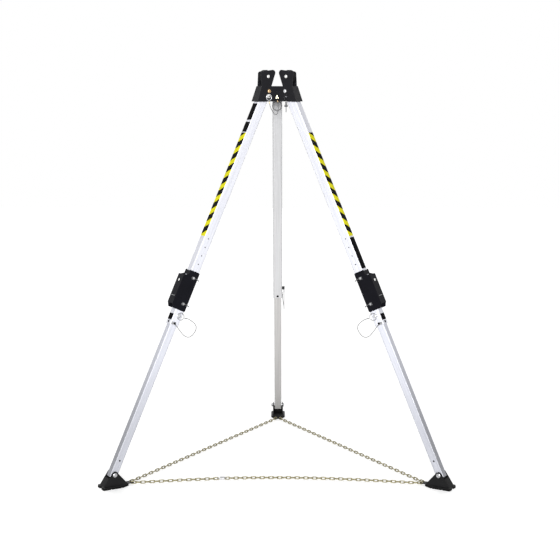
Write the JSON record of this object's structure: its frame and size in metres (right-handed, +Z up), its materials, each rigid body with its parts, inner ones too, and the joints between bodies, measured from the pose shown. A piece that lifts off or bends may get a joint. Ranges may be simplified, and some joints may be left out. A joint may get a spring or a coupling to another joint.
{
  "type": "confined space tripod",
  "caption": "Telescoping square-tube tripod for confined space entry and rescue, with a pinned head, cable sheaves, winch brackets, swivel feet and foot chains.",
  "frame": {"origin": "on the floor, in the middle of the footprint's box", "axes": "+Z up the tripod's plumb line, -Y out of the front, where the valley between the two winch legs is"},
  "size_m": [1.779, 1.5424, 2.0525],
  "materials": {
    "anchor_eye": "bright zinc plate",
    "anchor_plate": "bright zinc plate",
    "anchor_ring": "bright zinc plate",
    "bracket_screw_lower_left": "bright zinc plate",
    "bracket_screw_lower_right": "bright zinc plate",
    "bracket_screw_upper_left": "bright zinc plate",
    "bracket_screw_upper_right": "bright zinc plate",
    "foot_bolt_back": "bright zinc plate",
    "foot_bolt_left": "bright zinc plate",
    "foot_bolt_right": "bright zinc plate",
    "foot_shoe_back": "black powder coat, satin",
    "foot_shoe_left": "black powder coat, satin",
    "foot_shoe_right": "black powder coat, satin",
    "foot_sole_back": "matt",
    "foot_sole_left": "matt",
    "foot_sole_right": "matt",
    "front_chain_long": "yellow zinc plate",
    "front_chain_short": "yellow zinc plate",
    "guide_bush_back": "matt",
    "guide_bush_left": "matt",
    "guide_bush_right": "matt",
    "head_lanyard_left": "bright zinc plate",
    "head_lanyard_right": "bright zinc plate",
    "head_pin_back": "bright zinc plate",
    "head_pin_left": "bright zinc plate",
    "head_pin_right": "bright zinc plate",
    "head_plate_front": "black powder coat, satin",
    "head_plate_left": "black powder coat, satin",
    "head_plate_right": "black powder coat, satin",
    "inner_slider_back": "matt",
    "inner_slider_left": "matt",
    "inner_slider_right": "matt",
    "inner_tube_back": "satin, with a thin powder coat",
    "inner_tube_left": "satin, with a thin powder coat",
    "inner_tube_right": "satin, with a thin powder coat",
    "lanyard_lug": "yellow zinc plate",
    "lanyard_tab_back": "bright zinc plate",
    "lanyard_tab_left": "bright zinc plate",
    "lanyard_tab_right": "bright zinc plate",
    "left_chain": "yellow zinc plate",
    "leg_lanyard_back": "bright zinc plate",
    "leg_lanyard_left": "bright zinc plate",
    "leg_lanyard_right": "bright zinc plate",
    "leg_pin_back": "bright zinc plate",
    "leg_pin_left": "bright zinc plate",
    "leg_pin_right": "bright zinc plate",
    "outer_tube_back": "satin, with a thin powder coat",
    "outer_tube_left": "satin, with a thin powder coat",
    "outer_tube_right": "satin, with a thin powder coat",
    "pivot_bolt_back": "yellow zinc plate",
    "pivot_bolt_left": "yellow zinc plate",
    "pivot_bolt_right": "yellow zinc plate",
    "quick_link": "bright zinc plate",
    "right_chain": "yellow zinc plate",
    "sheave_axle_left": "bright zinc plate",
    "sheave_axle_right": "bright zinc plate",
    "sheave_left": "matt",
    "sheave_right": "matt",
    "winch_bracket_left": "black powder coat, satin",
    "winch_bracket_right": "black powder coat, satin"
  },
  "bodies": {
    "head": {"head_plate_front": "head_plate_front", "head_plate_left": "head_plate_left", "head_plate_right": "head_plate_right", "anchor_plate": "anchor_plate", "anchor_eye": "anchor_eye", "lanyard_lug": "lanyard_lug", "pivot_bolt_left": "pivot_bolt_left", "pivot_bolt_right": "pivot_bolt_right", "pivot_bolt_back": "pivot_bolt_back", "sheave_axle_left": "sheave_axle_left", "sheave_axle_right": "sheave_axle_right", "head_lanyard_left": "head_lanyard_left", "head_lanyard_right": "head_lanyard_right", "front_chain_short": "front_chain_short", "quick_link": "quick_link", "front_chain_long": "front_chain_long", "left_chain": "left_chain", "right_chain": "right_chain"},
    "sheave_left": {"sheave_left": "sheave_left"},
    "sheave_right": {"sheave_right": "sheave_right"},
    "anchor_ring": {"anchor_ring": "anchor_ring"},
    "head_pin_left": {"head_pin_left": "head_pin_left"},
    "head_pin_right": {"head_pin_right": "head_pin_right"},
    "head_pin_back": {"head_pin_back": "head_pin_back"},
    "upper_leg_left": {"outer_tube_left": "outer_tube_left", "guide_bush_left": "guide_bush_left", "lanyard_tab_left": "lanyard_tab_left", "leg_lanyard_left": "leg_lanyard_left", "winch_bracket_left": "winch_bracket_left"},
    "lower_leg_left": {"inner_tube_left": "inner_tube_left", "inner_slider_left": "inner_slider_left", "foot_bolt_left": "foot_bolt_left"},
    "foot_left": {"foot_shoe_left": "foot_shoe_left", "foot_sole_left": "foot_sole_left"},
    "leg_pin_left": {"leg_pin_left": "leg_pin_left"},
    "bracket_screw_upper_left": {"bracket_screw_upper_left": "bracket_screw_upper_left"},
    "bracket_screw_lower_left": {"bracket_screw_lower_left": "bracket_screw_lower_left"},
    "upper_leg_right": {"outer_tube_right": "outer_tube_right", "guide_bush_right": "guide_bush_right", "lanyard_tab_right": "lanyard_tab_right", "leg_lanyard_right": "leg_lanyard_right", "winch_bracket_right": "winch_bracket_right"},
    "lower_leg_right": {"inner_tube_right": "inner_tube_right", "inner_slider_right": "inner_slider_right", "foot_bolt_right": "foot_bolt_right"},
    "foot_right": {"foot_shoe_right": "foot_shoe_right", "foot_sole_right": "foot_sole_right"},
    "leg_pin_right": {"leg_pin_right": "leg_pin_right"},
    "bracket_screw_upper_right": {"bracket_screw_upper_right": "bracket_screw_upper_right"},
    "bracket_screw_lower_right": {"bracket_screw_lower_right": "bracket_screw_lower_right"},
    "upper_leg_back": {"outer_tube_back": "outer_tube_back", "guide_bush_back": "guide_bush_back", "lanyard_tab_back": "lanyard_tab_back", "leg_lanyard_back": "leg_lanyard_back"},
    "lower_leg_back": {"inner_tube_back": "inner_tube_back", "inner_slider_back": "inner_slider_back", "foot_bolt_back": "foot_bolt_back"},
    "foot_back": {"foot_shoe_back": "foot_shoe_back", "foot_sole_back": "foot_sole_back"},
    "leg_pin_back": {"leg_pin_back": "leg_pin_back"}
  },
  "joints": [
    {"name": "leg_fold_left", "type": "hinge", "parent": "head", "child": "upper_leg_left", "pos_m": [-0.05716, -0.26675, 1.946], "axis": [0.5, -0.866, 0], "range_deg": [0, 20], "deforming": ["front_chain_short", "front_chain_long", "quick_link", "left_chain", "right_chain"]},
    {"name": "leg_slide_left", "type": "slide", "parent": "upper_leg_left", "child": "lower_leg_left", "axis": [0.3631, 0.2097, 0.9078], "range_m": [0, 0.774], "deforming": ["front_chain_short", "front_chain_long", "quick_link", "left_chain", "right_chain"]},
    {"name": "foot_pivot_left", "type": "hinge", "parent": "lower_leg_left", "child": "foot_left", "pos_m": [-0.81406, -0.70375, 0.068], "axis": [0.5, -0.866, 0], "range_deg": [-35, 60], "deforming": ["front_chain_short", "front_chain_long", "quick_link", "left_chain", "right_chain"]},
    {"name": "leg_pin_pull_left", "type": "slide", "parent": "upper_leg_left", "child": "leg_pin_left", "axis": [0.5, -0.866, 0], "range_m": [0, 0.04], "deforming": ["leg_lanyard_left"]},
    {"name": "leg_fold_right", "type": "hinge", "parent": "head", "child": "upper_leg_right", "pos_m": [0.05716, -0.26675, 1.946], "axis": [0.5, 0.866, 0], "range_deg": [0, 20], "deforming": ["front_chain_short", "front_chain_long", "quick_link", "left_chain", "right_chain"]},
    {"name": "leg_slide_right", "type": "slide", "parent": "upper_leg_right", "child": "lower_leg_right", "axis": [-0.3631, 0.2097, 0.9078], "range_m": [0, 0.774], "deforming": ["front_chain_short", "front_chain_long", "quick_link", "left_chain", "right_chain"]},
    {"name": "foot_pivot_right", "type": "hinge", "parent": "lower_leg_right", "child": "foot_right", "pos_m": [0.81406, -0.70375, 0.068], "axis": [0.5, 0.866, 0], "range_deg": [-35, 60], "deforming": ["front_chain_short", "front_chain_long", "quick_link", "left_chain", "right_chain"]},
    {"name": "leg_pin_pull_right", "type": "slide", "parent": "upper_leg_right", "child": "leg_pin_right", "axis": [-0.5, -0.866, 0], "range_m": [0, 0.04], "deforming": ["leg_lanyard_right"]},
    {"name": "leg_fold_back", "type": "hinge", "parent": "head", "child": "upper_leg_back", "pos_m": [0, -0.16775, 1.946], "axis": [-1, 0, 0], "range_deg": [0, 20], "deforming": ["front_chain_short", "front_chain_long", "quick_link", "left_chain", "right_chain"]},
    {"name": "leg_slide_back", "type": "slide", "parent": "upper_leg_back", "child": "lower_leg_back", "axis": [0, -0.4193, 0.9078], "range_m": [0, 0.774], "deforming": ["front_chain_short", "front_chain_long", "quick_link", "left_chain", "right_chain"]},
    {"name": "foot_pivot_back", "type": "hinge", "parent": "lower_leg_back", "child": "foot_back", "pos_m": [0, 0.70625, 0.068], "axis": [-1, 0, 0], "range_deg": [-35, 60], "deforming": ["front_chain_short", "front_chain_long", "quick_link", "left_chain", "right_chain"]},
    {"name": "leg_pin_pull_back", "type": "slide", "parent": "upper_leg_back", "child": "leg_pin_back", "axis": [1, 0, 0], "range_m": [0, 0.04], "deforming": ["leg_lanyard_back"]},
    {"name": "bracket_screw_pull_upper_left", "type": "slide", "parent": "upper_leg_left", "child": "bracket_screw_upper_left", "axis": [0.5, -0.866, 0], "range_m": [0, 0.03]},
    {"name": "bracket_screw_pull_lower_left", "type": "slide", "parent": "upper_leg_left", "child": "bracket_screw_lower_left", "axis": [0.5, -0.866, 0], "range_m": [0, 0.03]},
    {"name": "bracket_screw_pull_upper_right", "type": "slide", "parent": "upper_leg_right", "child": "bracket_screw_upper_right", "axis": [-0.5, -0.866, 0], "range_m": [0, 0.03]},
    {"name": "bracket_screw_pull_lower_right", "type": "slide", "parent": "upper_leg_right", "child": "bracket_screw_lower_right", "axis": [-0.5, -0.866, 0], "range_m": [0, 0.03]},
    {"name": "head_pin_pull_left", "type": "slide", "parent": "head", "child": "head_pin_left", "axis": [0.5, -0.866, 0], "range_m": [0, 0.04], "deforming": ["head_lanyard_left"]},
    {"name": "head_pin_pull_back", "type": "slide", "parent": "head", "child": "head_pin_back", "axis": [1, 0, 0], "range_m": [0, 0.04]},
    {"name": "head_pin_swing_right", "type": "hinge", "parent": "head", "child": "head_pin_right", "pos_m": [0.04555, -0.31085, 1.893], "axis": [0.5, 0.866, 0], "range_deg": [-20, 20], "deforming": ["head_lanyard_right"]},
    {"name": "sheave_turn_left", "type": "hinge", "parent": "head", "child": "sheave_left", "pos_m": [-0.06149, -0.26925, 2.019], "axis": [0.5, -0.866, 0], "continuous": true},
    {"name": "sheave_turn_right", "type": "hinge", "parent": "head", "child": "sheave_right", "pos_m": [0.06149, -0.26925, 2.019], "axis": [0.5, 0.866, 0], "continuous": true},
    {"name": "anchor_ring_swing", "type": "hinge", "parent": "head", "child": "anchor_ring", "pos_m": [0, -0.23375, 1.8941], "axis": [1, 0, 0], "range_deg": [-40, 40]}
  ]
}
